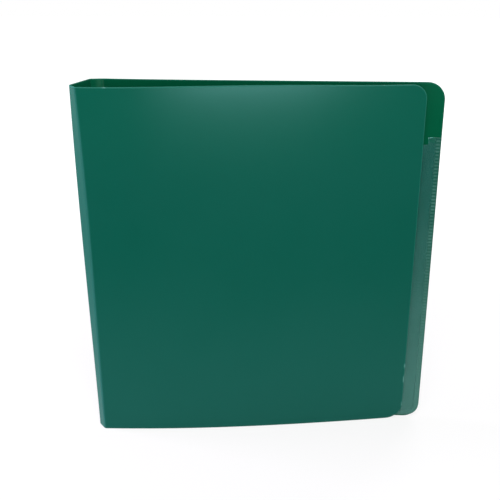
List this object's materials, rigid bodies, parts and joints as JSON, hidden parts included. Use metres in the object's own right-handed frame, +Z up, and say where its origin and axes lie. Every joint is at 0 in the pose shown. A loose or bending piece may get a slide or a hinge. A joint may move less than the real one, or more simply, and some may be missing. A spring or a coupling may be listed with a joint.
{
  "type": "stamp album",
  "caption": "Upright ring-binder stamp album of scored plastic sheet, with folding covers, page rings that snap open and a clear pocket inside the back cover.",
  "frame": {"origin": "on the floor, under the middle of the album's box as it stands nearly closed", "axes": "+X along the back cover away from the spine, +Y from the front cover to the back cover, +Z up along the spine"},
  "size_m": [0.2994, 0.042, 0.318],
  "materials": {
    "cover_sheet": "fine-grained dark green polypropylene sheet, satin",
    "clear_film": "clear polypropylene film, glossy",
    "pocket_weld": "knurled weld of clear film on green sheet",
    "housing_steel": "nickel-plated sheet steel",
    "ring_steel": "nickel-plated steel wire, polished",
    "rivet_steel": "nickel-plated rivet"
  },
  "bodies": {
    "back_cover": {"back_cover": "cover_sheet", "pocket_film": "clear_film", "pocket_weld_foot": "pocket_weld", "pocket_weld_inner": "pocket_weld", "pocket_weld_side": "pocket_weld", "ring_housing": "housing_steel", "rivet_lower": "rivet_steel", "rivet_upper": "rivet_steel"},
    "back_fold": {"back_fold_strip": "cover_sheet"},
    "spine": {"spine_panel": "cover_sheet"},
    "front_fold": {"front_fold_strip": "cover_sheet"},
    "front_cover": {"front_cover": "cover_sheet"},
    "rings_left": {"hinge_plate_left": "housing_steel", "ring_1_left": "ring_steel", "ring_2_left": "ring_steel", "ring_3_left": "ring_steel", "ring_4_left": "ring_steel"},
    "rings_right": {"hinge_plate_right": "housing_steel", "ring_1_right": "ring_steel", "ring_2_right": "ring_steel", "ring_3_right": "ring_steel", "ring_4_right": "ring_steel"}
  },
  "joints": [
    {"name": "back_fold_hinge", "type": "hinge", "parent": "back_cover", "child": "back_fold", "pos_m": [-0.13027, 0.01933, 0.159], "axis": [0, 0, -1], "range_deg": [0, 12.4]},
    {"name": "spine_hinge", "type": "hinge", "parent": "back_fold", "child": "spine", "pos_m": [-0.13955, 0.01729, 0.159], "axis": [0, 0, -1], "range_deg": [0, 59.9]},
    {"name": "front_fold_hinge", "type": "hinge", "parent": "spine", "child": "front_fold", "pos_m": [-0.14913, -0.01272, 0.159], "axis": [0, 0, -1], "range_deg": [0, 53.5]},
    {"name": "front_cover_hinge", "type": "hinge", "parent": "front_fold", "child": "front_cover", "pos_m": [-0.14357, -0.02043, 0.159], "axis": [0, 0, -1], "range_deg": [0, 61]},
    {"name": "ring_left_hinge", "type": "hinge", "parent": "back_cover", "child": "rings_left", "pos_m": [-0.11597, 0.01613, 0.159], "axis": [0, 0, -1], "range_deg": [0, 17]},
    {"name": "ring_right_hinge", "type": "hinge", "parent": "back_cover", "child": "rings_right", "pos_m": [-0.09057, 0.01613, 0.159], "axis": [0, 0, 1], "range_deg": [0, 17]}
  ],
  "couplings": [
    {"joint": "ring_right_hinge", "follows": "ring_left_hinge", "ratio": 1}
  ]
}
